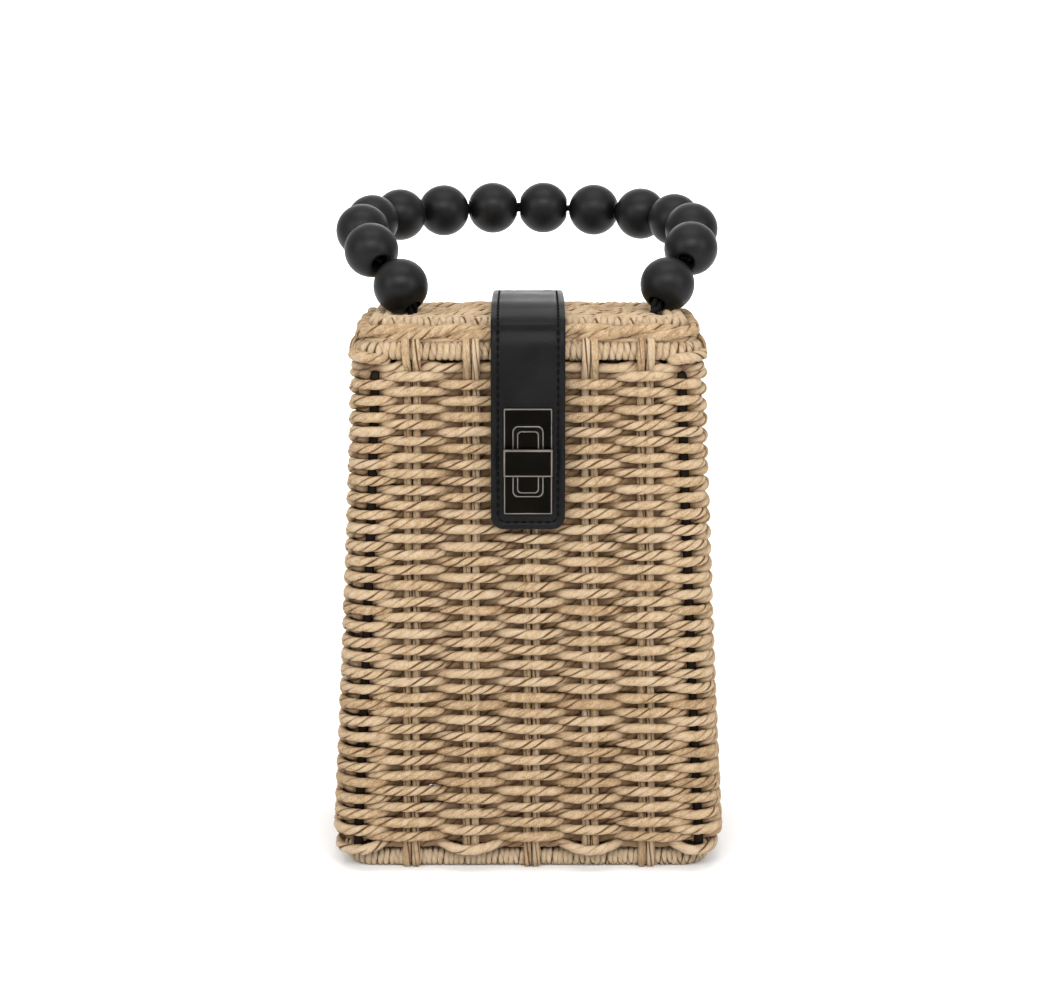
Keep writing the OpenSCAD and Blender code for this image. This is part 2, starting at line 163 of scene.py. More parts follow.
def stake_places(half_w, half_d, r):
    """Distances along an outline at which the stakes stand, starting with the corner at 0."""
    arc = math.pi * r / 2
    pitch = STAKE_PITCH + STAKE_SPREAD * (half_w - HALF_W + WALL_MID) / SPREAD
    front = [(i - (FRONT_STAKES - 1) / 2) * pitch for i in range(FRONT_STAKES)]
    side = [(i - (SIDE_STAKES - 1) / 2) * pitch for i in range(SIDE_STAKES)]
    places, start = [], 0.0
    for half, row in ((half_w, front), (half_d, side), (half_w, front), (half_d, side)):
        places.append(start)
        places += [start + arc / 2 + half - r + p for p in row]
        start += arc + 2 * (half - r)
    return np.array(places + [start]) + np.array(STAKE_SHIFT + [0])


def grid_faces(rows, columns, closed_rows, closed_columns=True):
    """Quads of a grid of points, row after row; closed runs join the last to the first."""
    i = np.arange(rows if closed_rows else rows - 1)
    j = np.arange(columns if closed_columns else columns - 1)
    i, j = np.meshgrid(i, j, indexing="ij")
    i2, j2 = (i + 1) % rows, (j + 1) % columns
    quads = np.stack([i * columns + j, i * columns + j2, i2 * columns + j2, i2 * columns + j], -1)
    return quads.reshape(-1, 4)


class Shape:
    """Points and faces gathered for one mesh, with the values its material reads."""

    def __init__(self):
        self.points, self.quads, self.grain, self.shade, self.slots = [], [], [], [], []
        self.count = 0

    def add(self, points, quads, grain=None, shade=None, slot=0):
        n = len(points)
        self.points.append(points)
        self.quads.append(np.where(quads < 0, -1, quads + self.count))
        self.grain.append(np.zeros((n, 3)) if grain is None else grain)
        self.shade.append(np.zeros((n, 3)) if shade is None else shade)
        self.slots.append(np.full(len(quads), slot))
        self.count += n

    def build(self, name, materials, smooth=True):
        points = np.concatenate(self.points) * MM
        quads = np.concatenate(self.quads)
        mesh = bpy.data.meshes.new(name)
        mesh.vertices.add(len(points))
        mesh.vertices.foreach_set("co", points.astype(np.float32).ravel())
        # a triangle is a quad whose last corner is -1
        sizes = np.where(quads[:, 3] < 0, 3, 4)
        loops = quads.ravel()
        loops = loops[loops >= 0]
        mesh.loops.add(len(loops))
        mesh.loops.foreach_set("vertex_index", loops.astype(np.int32))
        mesh.polygons.add(len(quads))
        starts = np.concatenate([[0], np.cumsum(sizes)[:-1]])
        mesh.polygons.foreach_set("loop_start", starts.astype(np.int32))
        mesh.polygons.foreach_set("material_index", np.concatenate(self.slots).astype(np.int32))
        mesh.polygons.foreach_set("use_smooth", np.full(len(quads), smooth))
        grain = mesh.attributes.new("grain", "FLOAT_VECTOR", "POINT")
        grain.data.foreach_set("vector", np.concatenate(self.grain).astype(np.float32).ravel())
        shade = np.concatenate(self.shade)
        for i, label in enumerate(("groove_shade", "tint", "recess_shade")):
            values = mesh.attributes.new(label, "FLOAT", "POINT")
            values.data.foreach_set("value", shade[:, i].astype(np.float32))
        mesh.update(calc_edges=True)
        mesh.validate()
        obj = bpy.data.objects.new(name, mesh)
        bpy.context.scene.collection.objects.link(obj)
        for material in materials:
            mesh.materials.append(material)
        return obj


def hand_over(shape, name, material, body, slot, *nodes):
    """Builds a shape as one piece that rides on a body and replaces CAD nodes."""
    piece = shape.build(name, [material])
    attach(piece, body)
    if nodes:
        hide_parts(*nodes)
    return piece


def caps(sides, count):
    """Triangles that close a tube's two ends, each round one new middle point."""
    j = np.arange(sides)
    after = (j + 1) % sides
    middle, last, none = np.full(sides, count * sides), (count - 1) * sides, np.full(sides, -1)
    first_end = np.stack([middle, after, j, none], -1)
    last_end = np.stack([middle + 1, last + j, last + after, none], -1)
    return np.concatenate([first_end, last_end])


# how far one turn of the rope's plies runs along it
ROPE_LAY = 15.6
# radius of the round grain that the rope materials read
GRAIN_R = 2.0


def strand(shape, path, normals, half_b, half_n, lay=ROPE_LAY, lobes=3, depth=0.18, sides=15,
           closed=False, tint=0.0, recess_shade=None):
    """Adds a twisted rope along a path. half_n is half its thickness along normals, half_b across.

    Its columns of points run along the grooves between the plies, so the grooves stay sharp."""
    normals = np.broadcast_to(normals, path.shape)
    if closed:
        tangent = unit(np.roll(path, -1, 0) - np.roll(path, 1, 0))
    else:
        tangent = unit(np.gradient(path, axis=0))
    normals = unit(normals - (normals * tangent).sum(-1, keepdims=True) * tangent)
    across = np.cross(tangent, normals)
    s = run_along(path)
    if closed:
        length = s[-1] + np.linalg.norm(path[0] - path[-1])
        lay = length / max(1, round(length / lay))
    theta = 2 * np.pi * np.arange(sides) / sides
    angle = theta[None, :] - 2 * np.pi * s[:, None] / lay + rng.random() * 6.28
    crest = np.abs(np.sin(lobes * theta / 2)) ** 0.62
    # each groove is pressed in more at some places than at others
    uneven = np.stack([noise_along(s, lay * 0.45, closed) for _ in range(lobes)], -1)
    groove = np.rint(lobes * theta / (2 * np.pi)).astype(int) % lobes
    groove_depth = (1 - crest)[None, :] * np.clip(1 + 0.45 * uneven[:, groove], 0.25, 1.7)
    swell = 1 - depth * groove_depth
    half_b = np.broadcast_to(half_b, s.shape)[:, None]
    half_n = np.broadcast_to(half_n, s.shape)[:, None]
    out = np.cos(angle) * swell * half_n
    over = np.sin(angle) * swell * half_b
    points = path[:, None] + normals[:, None] * out[..., None] + across[:, None] * over[..., None]
    ring = GRAIN_R * np.cos(theta) + tint * 400, GRAIN_R * np.sin(theta)
    grain = np.stack(np.broadcast_arrays(*ring, s[:, None]), -1)
    # painted shade: how deep each point lies in the wall, which darkens its colour
    recess_shade_values = np.zeros_like(out) if recess_shade is None else recess_shade(s, out)
    # groove depth, kept for the painted shade in the grooves, then the row's tint and the painted shade
    # in the wall
    shade = np.stack(np.broadcast_arrays(groove_depth, np.full_like(s, tint)[:, None], recess_shade_values), -1)
    rows = len(path)
    flat = points.reshape(-1, 3)
    quads = grid_faces(rows, sides, closed)
    if closed:
        shape.add(flat, quads, grain.reshape(-1, 3), shade.reshape(-1, 3))
        return
    middles = np.array([path[0], path[-1]])
    flat = np.concatenate([flat, middles])
    grain = np.concatenate([grain.reshape(-1, 3), np.zeros((2, 3))])
    # the end middles carry half of both painted shades
    shade = np.concatenate([shade.reshape(-1, 3), np.array([[0.5, tint, 0.5]] * 2)])
    shape.add(flat, np.concatenate([quads, caps(sides, rows)]), grain, shade)


def smooth_path(points, spacing):
    """A Catmull-Rom curve through points, cut into steps of about the spacing."""
    p = np.array(points, float)
    p = np.concatenate([[2 * p[0] - p[1]], p, [2 * p[-1] - p[-2]]])
    out = []
    for a, b, c, d in zip(p[:-3], p[1:-2], p[2:-1], p[3:]):
        n = max(2, int(np.linalg.norm(c - b) / spacing + 0.5))
        t = np.linspace(0, 1, n, endpoint=False)[:, None]
        square, cube = (2 * a - 5 * b + 4 * c - d) * t**2, (3 * b - a - 3 * c + d) * t**3
        out.append(0.5 * (2 * b + (c - a) * t + square + cube))
    return np.concatenate(out + [p[-2:-1]])


# ---- materials ----


def shader(name):
    material = bpy.data.materials.new(name)
    material.use_nodes = True
    return material, material.node_tree, material.node_tree.nodes["Principled BSDF"]


def add_node(tree, kind, inputs=(), **settings):
    """A node with settings; inputs are (socket, value) pairs, where a value may be another socket."""
    node = tree.nodes.new(kind)
    for key, value in settings.items():
        setattr(node, key, value)
    for key, value in inputs:
        if isinstance(value, bpy.types.NodeSocket):
            tree.links.new(value, node.inputs[key])
        else:
            node.inputs[key].default_value = value
    return node


def ramp(tree, value, stops):
    """A colour ramp over a value; stops are (place, colour)."""
    node = add_node(tree, "ShaderNodeValToRGB", [("Fac", value)])
    elements = node.color_ramp.elements
    while len(elements) < len(stops):
        elements.new(0.5)
    for element, (place, colour) in zip(elements, stops):
        element.position = place
        element.color = (*colour, 1)
    return node.outputs["Color"]


def math_node(tree, operation, a, b=0.0, clamp=False):
    node = add_node(tree, "ShaderNodeMath", [(0, a), (1, b)], operation=operation, use_clamp=clamp)
    return node.outputs[0]


def attribute(tree, name, output="Fac"):
    return add_node(tree, "ShaderNodeAttribute", attribute_name=name).outputs[output]


def mix_colour(tree, factor, a, b):
    """Colour between a and b; each may be a socket or a colour."""
    node = tree.nodes.new("ShaderNodeMix")
    node.data_type = "RGBA"
    # a Mix node's colour sockets are its seventh and eighth inputs and its third output
    for key, value in ((0, factor), (6, a), (7, b)):
        if isinstance(value, bpy.types.NodeSocket):
            tree.links.new(value, node.inputs[key])
        else:
            node.inputs[key].default_value = (*value, 1) if key else value
    return node.outputs[2]


def noise(tree, place, scale, detail, rough=0.5, stretch=None):
    """Noise over a place, which may first be stretched along each axis."""
    if stretch:
        place = add_node(tree, "ShaderNodeMapping", [("Vector", place), ("Scale", stretch)]).outputs[0]
    inputs = [("Vector", place), ("Scale", scale), ("Detail", detail), ("Roughness", rough)]
    return add_node(tree, "ShaderNodeTexNoise", inputs).outputs["Fac"]


def weighted(tree, *terms):
    """Sum of (value, weight) pairs."""
    total = None
    for value, weight in terms:
        part = value if weight == 1 else math_node(tree, "MULTIPLY", value, weight)
        total = part if total is None else math_node(tree, "ADD", total, part)
    return total


def times(colour, factor):
    """A colour made lighter or darker; the factor is one number or three."""
    factors = factor if isinstance(factor, tuple) else (factor,) * 3
    return tuple(min(1, c * f) for c, f in zip(colour, factors))


def finish_surface(tree, bsdf, colour, rough, height, strength, distance, specular=None):
    """Links colour, roughness and bump; rough is one number, or a value with its low and high stops."""
    tree.links.new(colour, bsdf.inputs["Base Color"])
    if isinstance(rough, tuple):
        value, low, high = rough
        grey = ramp(tree, value, [(low[0], (low[1],) * 3), (high[0], (high[1],) * 3)])
        tree.links.new(grey, bsdf.inputs["Roughness"])
    else:
        bsdf.inputs["Roughness"].default_value = rough
    inputs = [("Height", height), ("Strength", strength), ("Distance", distance)]
    tree.links.new(add_node(tree, "ShaderNodeBump", inputs).outputs[0], bsdf.inputs["Normal"])
    if specular is not None:
        bsdf.inputs["Specular IOR Level"].default_value = specular


def straw_material(name, pale, middle, dark):
    """Twisted paper: mottled fibres that follow each ply, grooves painted a shaded brown, and painted
    shade on the stretches that lie deep in the wall.
    """
    material, tree, bsdf = shader(name)
    grain = attribute(tree, "grain", "Vector")
    groove_shade, tint, recess_shade = (attribute(tree, label) for label in ("groove_shade", "tint", "recess_shade"))
    fibres = noise(tree, grain, 1.5, 6.0, 0.72, stretch=(2.4, 2.4, 0.42))
    patches = noise(tree, grain, 0.32, 3.0, 0.6)
    ridges = noise(tree, grain, 1.4, 4.0, 0.65, stretch=(4.0, 4.0, 1.1))
    level = weighted(tree, (fibres, 0.46), (patches, 0.2), (ridges, 0.34), (tint, 1))
    colour = ramp(tree, level, [(0.42, dark), (0.49, middle), (0.56, pale)])
    # painted shade: the grooves between the plies are darkened to a deep brown
    groove = math_node(tree, "MULTIPLY", math_node(tree, "POWER", groove_shade, 3.2), 0.72, clamp=True)
    colour = mix_colour(tree, groove, colour, times(dark, (0.42, 0.34, 0.26)))
    # painted shade: rope that lies deep in the wall is darkened to a deeper brown
    recess_shade_mix = math_node(tree, "MULTIPLY", recess_shade, 0.7)
    colour = mix_colour(tree, recess_shade_mix, colour, times(dark, (0.42, 0.31, 0.20)))
    height = weighted(tree, (fibres, 0.6), (ridges, 0.6))
    finish_surface(tree, bsdf, colour, (fibres, (0.3, 0.68), (0.7, 0.9)), height, 0.7, 0.0011, 0.2)
    return material


def leather_material(name, colour, roughness, grain_size, bump_depth):
    """Black coated leather with a fine pebble grain and faint wear."""
    material, tree, bsdf = shader(name)
    place = add_node(tree, "ShaderNodeTexCoord").outputs["Object"]
    cells = add_node(tree, "ShaderNodeTexVoronoi", [("Vector", place), ("Scale", grain_size)],
                     feature="SMOOTH_F1").outputs["Distance"]
    cloud = noise(tree, place, 70.0, 4.0)
    shade = ramp(tree, cloud, [(0.35, times(colour, 0.8)), (0.7, times(colour, 1.35))])
    rough = cloud, (0.3, roughness - 0.05), (0.7, roughness + 0.07)
    height = weighted(tree, (cells, 1), (cloud, 0.3))
    finish_surface(tree, bsdf, shade, rough, height, 0.35, bump_depth, 0.1)
    return material


def metal_material(name, colour, roughness):
    """Plated metal with faint cloudy wear and fine scratches."""
    material, tree, bsdf = shader(name)
    place = add_node(tree, "ShaderNodeTexCoord").outputs["Object"]
    cloud = noise(tree, place, 120.0, 5.0)
    scratches = noise(tree, place, 1.0, 2.0, stretch=(3000.0, 3000.0, 160.0))
    shade = ramp(tree, cloud, [(0.3, times(colour, 0.8)), (0.7, times(colour, 1.2))])
    rough = cloud, (0.3, roughness * 0.8), (0.75, roughness * 1.35)
    finish_surface(tree, bsdf, shade, rough, scratches, 0.12, 0.00005)
    bsdf.inputs["Metallic"].default_value = 1.0
    return material


def lacquer_material(name, colour, roughness):
    """Satin black lacquer on turned beads, with a trace of orange peel and handling marks."""
    material, tree, bsdf = shader(name)
    place = add_node(tree, "ShaderNodeTexCoord").outputs["Object"]
    peel = noise(tree, place, 700.0, 2.0)
    cloud = noise(tree, place, 90.0, 4.0)
    shade = ramp(tree, cloud, [(0.35, times(colour, 0.85)), (0.7, times(colour, 1.25))])
    rough = cloud, (0.3, roughness - 0.03), (0.7, roughness + 0.05)
    finish_surface(tree, bsdf, shade, rough, peel, 0.08, 0.0001, 0.22)
    return material


def thread_material(name, colour):
    """Twisted black thread or cord: diagonal strands in colour and bump."""
    material, tree, bsdf = shader(name)
    grain = attribute(tree, "grain", "Vector")
    strands = noise(tree, grain, 2.0, 3.0, stretch=(2.0, 2.0, 0.6))
    shade = ramp(tree, strands, [(0.3, times(colour, 0.6)), (0.7, times(colour, 1.8))])
    finish_surface(tree, bsdf, shade, 0.6, strands, 0.5, 0.0003, 0.06)
    return material


STRAW = straw_material("paper_rope", (0.61, 0.475, 0.33), (0.54, 0.382, 0.218), (0.30, 0.185, 0.095))
LEATHER = leather_material("black_leather", (0.006, 0.006, 0.0065), 0.38, 1500.0, 0.00012)
LINING = leather_material("strap_lining_leather", (0.012, 0.011, 0.011), 0.65, 900.0, 0.0002)
LACQUER = lacquer_material("black_bead_lacquer", (0.004, 0.004, 0.0045), 0.40)
CORD = thread_material("black_cord", (0.007, 0.007, 0.007))
THREAD = thread_material("black_thread", (0.003, 0.003, 0.003))
GUNMETAL = metal_material("lock_gunmetal", (0.006, 0.0054, 0.0044), 0.34)
# a brighter metal for the lock's edge bands: painted highlight along its bevels
EDGE_HIGHLIGHT = metal_material("lock_edge_painted_highlight", (0.24, 0.215, 0.185), 0.32)
WIRE = metal_material("frame_wire_steel", (0.022, 0.016, 0.011), 0.6)

# ---- the basket's weave ----

ROW_PITCH = 3.2
ROWS = 61
TOP_ROW_Z = RIM_TOP - 9.9
# how far a row stands out of, or lies into, the wall's middle where it passes a stake
FLOAT_OUT = 2.5
# half thicknesses of a row's rope: upright at a stake, upright between stakes, and across the wall
ROPE_TALL = 2.08
ROPE_FLAT = 1.8
ROPE_DEEP = 1.85
# how much taller the rope is where it passes inside, which closes the slots between the rows
INSIDE_TALLER = 0.95
# distance of an odd row's short dip to either side of a corner stake
CORNER_DIP = 4.2
RING_STEP = 0.9
ROWS_PER_PIECE = 11


def wall_sizes(z):
    """Half width, half depth and corner radius of the line of the stakes at height z."""
    out = spread(z) - 0.35 - WALL_MID
    return HALF_W + out, HALF_D + out, CORNER - WALL_MID + 0.15 * spread(z)


def weave_row(k):
    """Centre line, outward normals and half thicknesses of row k, counted down from the top."""
    z = TOP_ROW_Z - k * ROW_PITCH
    sizes = wall_sizes(z)
    length = outline_length(*sizes)
    count = int(length / RING_STEP)
    s = np.arange(count) * length / count
    flat, out = outline(s, *sizes)
    places = stake_places(*sizes)
    turns = np.arange(len(places), dtype=float)
    if k % 2:
        # odd rows only dip in shortly at each corner
        corners = np.array([*CORNER_STAKES, len(STAKE_SHIFT)])
        places = np.concatenate([places, places[corners] - CORNER_DIP, places[corners] + CORNER_DIP])
        turns = np.concatenate([turns, corners - 0.5, corners + 0.5])
    order = np.argsort(places)
    t = np.interp(s, places[order], turns[order])
    swing = np.cos(np.pi * (t + (k % 2)))
    offset = FLOAT_OUT * np.sign(swing) * np.abs(swing) ** 0.6
    near = np.abs(swing)
    lift = wobble(s, length, 0.21, (1, 2, 3, 5, 9, 14, 20)) + 0.12 * rng.normal()
    lift = lift + 0.16 * noise_along(s, 12.0, True)
    offset = offset + wobble(s, length, 0.12, (4, 9, 17, 23))
    if k == 0:
        # the first row passes behind every stake, and stands out between them
        from_stake = (t - np.rint(t)) * STAKE_PITCH
        offset = 1.5 - 3.1 * np.exp(-((from_stake / 5.0) ** 2))
    if k <= 2:
        # dips under the hinge loops at the back
        for x in (-LOOP_X, LOOP_X):
            dip = np.exp(-(((flat[:, 0] - x) / 5.0) ** 2)) * (flat[:, 1] > 0)
            lift = lift - dip * (1.5 - 0.5 * k)
    if k == ROWS - 1:
        # the last row dips over the base rim where it passes outside
        lift = lift + 0.9 - 2.6 * np.clip(swing, 0, 1)
        corner = (np.abs(flat[:, 0]) > HALF_W - 4) & (np.abs(flat[:, 1]) > HALF_D - 12)
        offset = offset + 0.8 * np.clip(swing, 0, 1) - 0.3 - 1.2 * corner
    if k == ROWS - 2:
        lift = lift + 0.5 - 0.9 * np.clip(-swing, 0, 1)
    normals = np.column_stack([out, np.zeros(count)])
    path = np.column_stack([flat + out * offset[:, None], z + lift])
    half_b = ROPE_FLAT + (ROPE_TALL - ROPE_FLAT) * near**0.5
    half_b = half_b + INSIDE_TALLER * np.clip(-swing, 0, 1) ** 0.6
    half_b = half_b * (1 + 0.045 * noise_along(s, 14.0, True))
    half_n = ROPE_DEEP + 0.15 * (1 - near)

    def recess_shade(_, out_of_line):
        """Painted shade: 1 where the rope lies deep in the wall, between the outer and the inner face,
        which the material darkens.
        """
        return np.clip((3.5 - np.abs(offset[:, None] + out_of_line)) / 2.7, 0, 1)

    return path, normals, half_b, half_n, recess_shade


loop_low, loop_high = node_box("hinge_loop_right")
LOOP_X = (loop_low[0] + loop_high[0]) / 2


def build_weave():
    pieces = []
    for first in range(0, ROWS, ROWS_PER_PIECE):
        shape = Shape()
        for k in range(first, min(first + ROWS_PER_PIECE, ROWS)):
            path, normals, half_b, half_n, recess_shade = weave_row(k)
            strand(shape, path, normals, half_b, half_n, lay=ROPE_LAY + rng.normal() * 0.9,
                   closed=True, tint=rng.normal() * 0.018, recess_shade=recess_shade)
        name = f"weave_rows_{first // ROWS_PER_PIECE + 1}"
        pieces.append(hand_over(shape, name, STRAW, "basket", "straw"))
    return pieces


# ---- stakes ----

# the winding of the top rim: its radius, its height, and how far its centre line stands in
WOUND_R = 3.75
WOUND_Z = RIM_TOP - 3.4
WOUND_IN_W = 6.1
WOUND_IN_D = 4.9
WOUND_CORNER = 8.0


def build_stakes():
    names = {"front": range(1, 6), "right": range(7, 10), "back": range(11, 16), "left": range(17, 20)}
    shapes = {name: Shape() for name in names}
    for group, index in [(name, i) for name, places in names.items() for i in places]:
        for e in (-0.5, 0.5):
            path, out = stake_path(index, e)
            wall_line = HALF_D if abs(out[1]) > 0.5 else HALF_W

            def recess_shade(s, out_of_line, path=path, out=out, wall_line=wall_line):
                proud = path @ out - wall_line - spread(path[:, 2])
                # painted shade, at most a third as strong as on the rows, where a stake lies inside the
                # wall
                inside = np.clip((-1.5 - proud) / 2.0, 0, 1) * 0.3
                return np.broadcast_to(inside[:, None], out_of_line.shape)

            strand(shapes[group], path, out, 1.62, 1.15, lay=70.0, lobes=4, depth=0.16, sides=16,
                   tint=rng.normal() * 0.04, recess_shade=recess_shade)
    posts = Shape()
    for index in CORNER_STAKES:
        path, out = stake_path(index, 0.0)
        path = path[(path[:, 2] > 8) & (path[:, 2] < RIM_TOP - 9)] - out * 0.6
        strand(posts, path, out, 2.0, 1.2, lay=90.0, depth=0.02, sides=12)
    hand_over(posts, "corner_post_wires", WIRE, "basket", "steel_wire", "corner_posts")
    for name, shape in shapes.items():
        hand_over(shape, f"{name}_stake_strands", STRAW, "basket", "straw", f"{name}_stakes")


STAKE_STEP = 1.1
# the lowest point of a stake on the wall; below it the stake goes under the base rim or ends
STAKE_FOOT = 14.0


def stake_path(index, e):
    """One strand of a pair: from under the base rim up the wall, then over the top rim and into it."""
    def on_wall(z, offset):
        size = wall_sizes(z)
        place = stake_places(*size)[index] + e * PAIR_GAP
        point, out = outline(np.array([place]), *size)
        return np.append(point[0] + out[0] * offset, z), np.append(out[0], 0)

    jitter = rng.normal() * 0.2
    points = [on_wall(z, 0.15 * rng.normal())[0] for z in np.arange(STAKE_FOOT, RIM_TOP - 16, 9.0)]
    out = on_wall(100.0, 0)[1]
    start, outward = on_wall(RIM_TOP - 13, 0.2)
    points.append(start)
    front = abs(outward[1]) > 0.5
    rim_c = (HALF_D - WOUND_IN_D if front else HALF_W - WOUND_IN_W) - abs(start @ outward)
    side = np.cross(outward, [0, 0, 1])
    over = WOUND_R * 1.06 + 0.85
    curve = [(-62, 1.0), (-30, 0.5), (0, 0), (35, 0), (62, 0.1), (84, -0.6), (108, -2.0), (120, -3.4)]
    for i, (degrees, further) in enumerate(curve):
        a = math.radians(degrees)
        radius = over + further
        up = WOUND_Z - start[2] + radius * math.sin(a)
        aside = side * jitter * (1 + 0.35 * i)
        points.append(start + outward * (rim_c + radius * math.cos(a)) + up * UP + aside)
    low = on_wall(STAKE_FOOT, 0)[0]
    if (index + (ROWS - 1) % 2) % 2 == 0:
        # ends behind the last row, which passes outside here
        return smooth_path([low - 4.5 * UP] + points, STAKE_STEP), out
    # under the base rim
    foot_c = (foot_high[1] if front else foot_high[0]) - FOOT_R - abs(low @ outward)
    below = []
    for degrees, further in ((-75, -1.4), (-40, 0.3), (0, 0.9), (35, 1.3)):
        a = math.radians(degrees)
        radius = FOOT_R + further
        z = FOOT_R + radius * math.sin(a)
        below.append(low + outward * (foot_c + radius * math.cos(a)) + (z - low[2]) * UP)
    return smooth_path(below + points, STAKE_STEP), out


# ---- wrapped rims and twined borders ----


def ring_line(half_w, half_d, r, z, step):
    """Centre line, outward normals, distances and length of a level ring."""
    length = outline_length(half_w, half_d, r)
    count = int(length / step)
    s = np.arange(count) * length / count
    flat, out = outline(s, half_w, half_d, r)
    path = np.column_stack([flat, np.full(count, z)])
    normals = np.column_stack([out, np.zeros(count)])
    return path, normals, s, length


def rope_ring(shape, half_w, half_d, r, z, step, half_b, half_n, **twist):
    """One rope or wire laid as a level ring."""
    path, normals, _, _ = ring_line(half_w, half_d, r, z, step)
    strand(shape, path, normals, half_b, half_n, closed=True, **twist)


def wrapped_ring(shape, half_w, half_d, r, z, radius, pitch, thickness):
    """A core with rope wound round it, turn beside turn."""
    core_r = radius - thickness
    rope_ring(shape, half_w, half_d, r, z, 2.5, core_r, core_r, lay=60, depth=0.02, sides=14, tint=-0.25)
    turn = 2 * math.pi * (radius - thickness / 2)
    length = outline_length(half_w, half_d, r)
    turns = round(length / pitch)
    count = int(turns * turn / 0.95)
    u = np.arange(count) / count
    s = u * length
    flat, out = outline(s, half_w, half_d, r)
    normal = np.column_stack([out, np.zeros(count)])
    jitter = wobble(s, length, 0.5, (turns // 9, turns // 5, turns // 3, turns // 2))
    angle = -2 * np.pi * turns * u + jitter
    loose = 1 + wobble(s, length, 0.035, (turns // 3, turns // 2, turns, 2 * turns))
    reach = (radius - thickness / 2) * loose
    radial = normal * np.cos(angle)[:, None] - UP * np.sin(angle)[:, None]
    path = np.column_stack([flat, np.full(count, z)]) + radial * reach[:, None]
    strand(shape, path, radial, pitch * 0.56, thickness * 0.62, lay=9.0, lobes=2, depth=0.2, sides=9,
           closed=True, tint=rng.normal() * 0.02)


def twined_ring(shape, half_w, half_d, r, z, orbit, rope_r, turn_length):
    """Two ropes that turn round each other all the way round a ring."""
    path, normals, s, length = ring_line(half_w, half_d, r, z, RING_STEP)
    turns = round(length / turn_length)
    for start in (0, math.pi):
        angle = -2 * np.pi * turns * s / length + start + wobble(s, length, 0.12, (3, 5, 8))
        middle = path + normals * (orbit * np.cos(angle))[:, None]
        middle[:, 2] -= orbit * np.sin(angle)
        size = rope_r * (1 + wobble(s, length, 0.03, (5, 11, 17)))
        strand(shape, middle, normals, size, size * 0.95, depth=0.16, closed=True,
               tint=rng.normal() * 0.03)


def build_rims():
    rim_line = HALF_W - WOUND_IN_W, HALF_D - WOUND_IN_D, WOUND_CORNER
    shape = Shape()
    wrapped_ring(shape, *rim_line, WOUND_Z, WOUND_R, 2.6, 1.7)
    # a thin rope laid on the winding, under the lid's edge
    rope_ring(shape, *rim_line, WOUND_Z + WOUND_R + 0.35, 1.2, 1.15, 1.2, lay=9.0, sides=10, tint=0.01)
    hand_over(shape, "top_rim_winding", STRAW, "basket", "straw", "top_rim_wrap")
    shape = Shape()
    rope_ring(shape, *rim_line, WOUND_Z, 1.5, 1.5, 1.5, lay=90.0, depth=0.01, sides=12)
    hand_over(shape, "top_rim_frame_wire", WIRE, "basket", "steel_wire", "top_rim_wire")
    shape = Shape()
    wrapped_ring(shape, foot_high[0] - FOOT_R, foot_high[1] - FOOT_R, 9.0, FOOT_R, FOOT_R - 0.1, 2.2, 1.5)
    hand_over(shape, "base_rim_winding", STRAW, "basket", "straw", "base_rim_wrap")


def build_corner_stubs():
    """Ends of rope bound round each corner under the rim, with both tips tucked in."""
    proud = 1.7
    half_w, half_d, r = HALF_W - proud, HALF_D - proud, CORNER - proud
    places = stake_places(half_w, half_d, r)
    shape = Shape()
    for index, front in zip(CORNER_STAKES, (1, -1, 1, -1)):
        s = np.arange(-14.0, 7.6, 0.8)
        tuck = 3.4 * (np.clip((s - 4.6) / 3, 0, 1) ** 1.3 + np.clip((-9 - s) / 5, 0, 1) ** 1.5)
        flat, out = outline(places[index] + front * s, half_w, half_d, r)
        z = RIM_TOP - 6.0 + 0.8 * np.clip(-s / 9, -1, 1)
        path = np.column_stack([flat - out * tuck[:, None], z])
        normals = np.column_stack([out, 0 * s])
        strand(shape, path, normals, 2.35, 2.2, lay=front * 13.0, tint=rng.normal() * 0.03)
    hand_over(shape, "corner_binding_ropes", STRAW, "basket", "straw")


def build_base():
    """Woven base: rows from side to side over crossing stakes."""
    low, high = node_box("base_weave")
    shape = Shape()
    rows = 20
    margin = 1.5
    pitch = (2 * high[1] - 2 * margin) / rows
    for j in range(rows):
        y = -high[1] + margin + (j + 0.5) * pitch
        x = np.arange(-high[0] + margin, high[0] - margin, 1.0)
        swing = np.cos(np.pi * (x / STAKE_PITCH + j % 2))
        z = 2.45 + 0.45 * swing
        path = np.column_stack([x, np.full_like(x, y), z])
        strand(shape, path, UP, 1.95, 1.7, sides=12, tint=rng.normal() * 0.04)
    hand_over(shape, "base_rows", STRAW, "basket", "straw", "base_weave")


# ---- lid ----

border_low, border_high = node_box("lid_border")
BORDER_Z = border_low[2] + 3.2
lid_low, lid_high = node_box("lid_weave")
CROWN = lid_high[2]
DOME_R = 420.0
LID_ROW_PITCH = 4.1
LID_MID = 2.6


def dome(x, y):
    return CROWN - DOME_R + np.sqrt(DOME_R**2 - x * x - y * y)


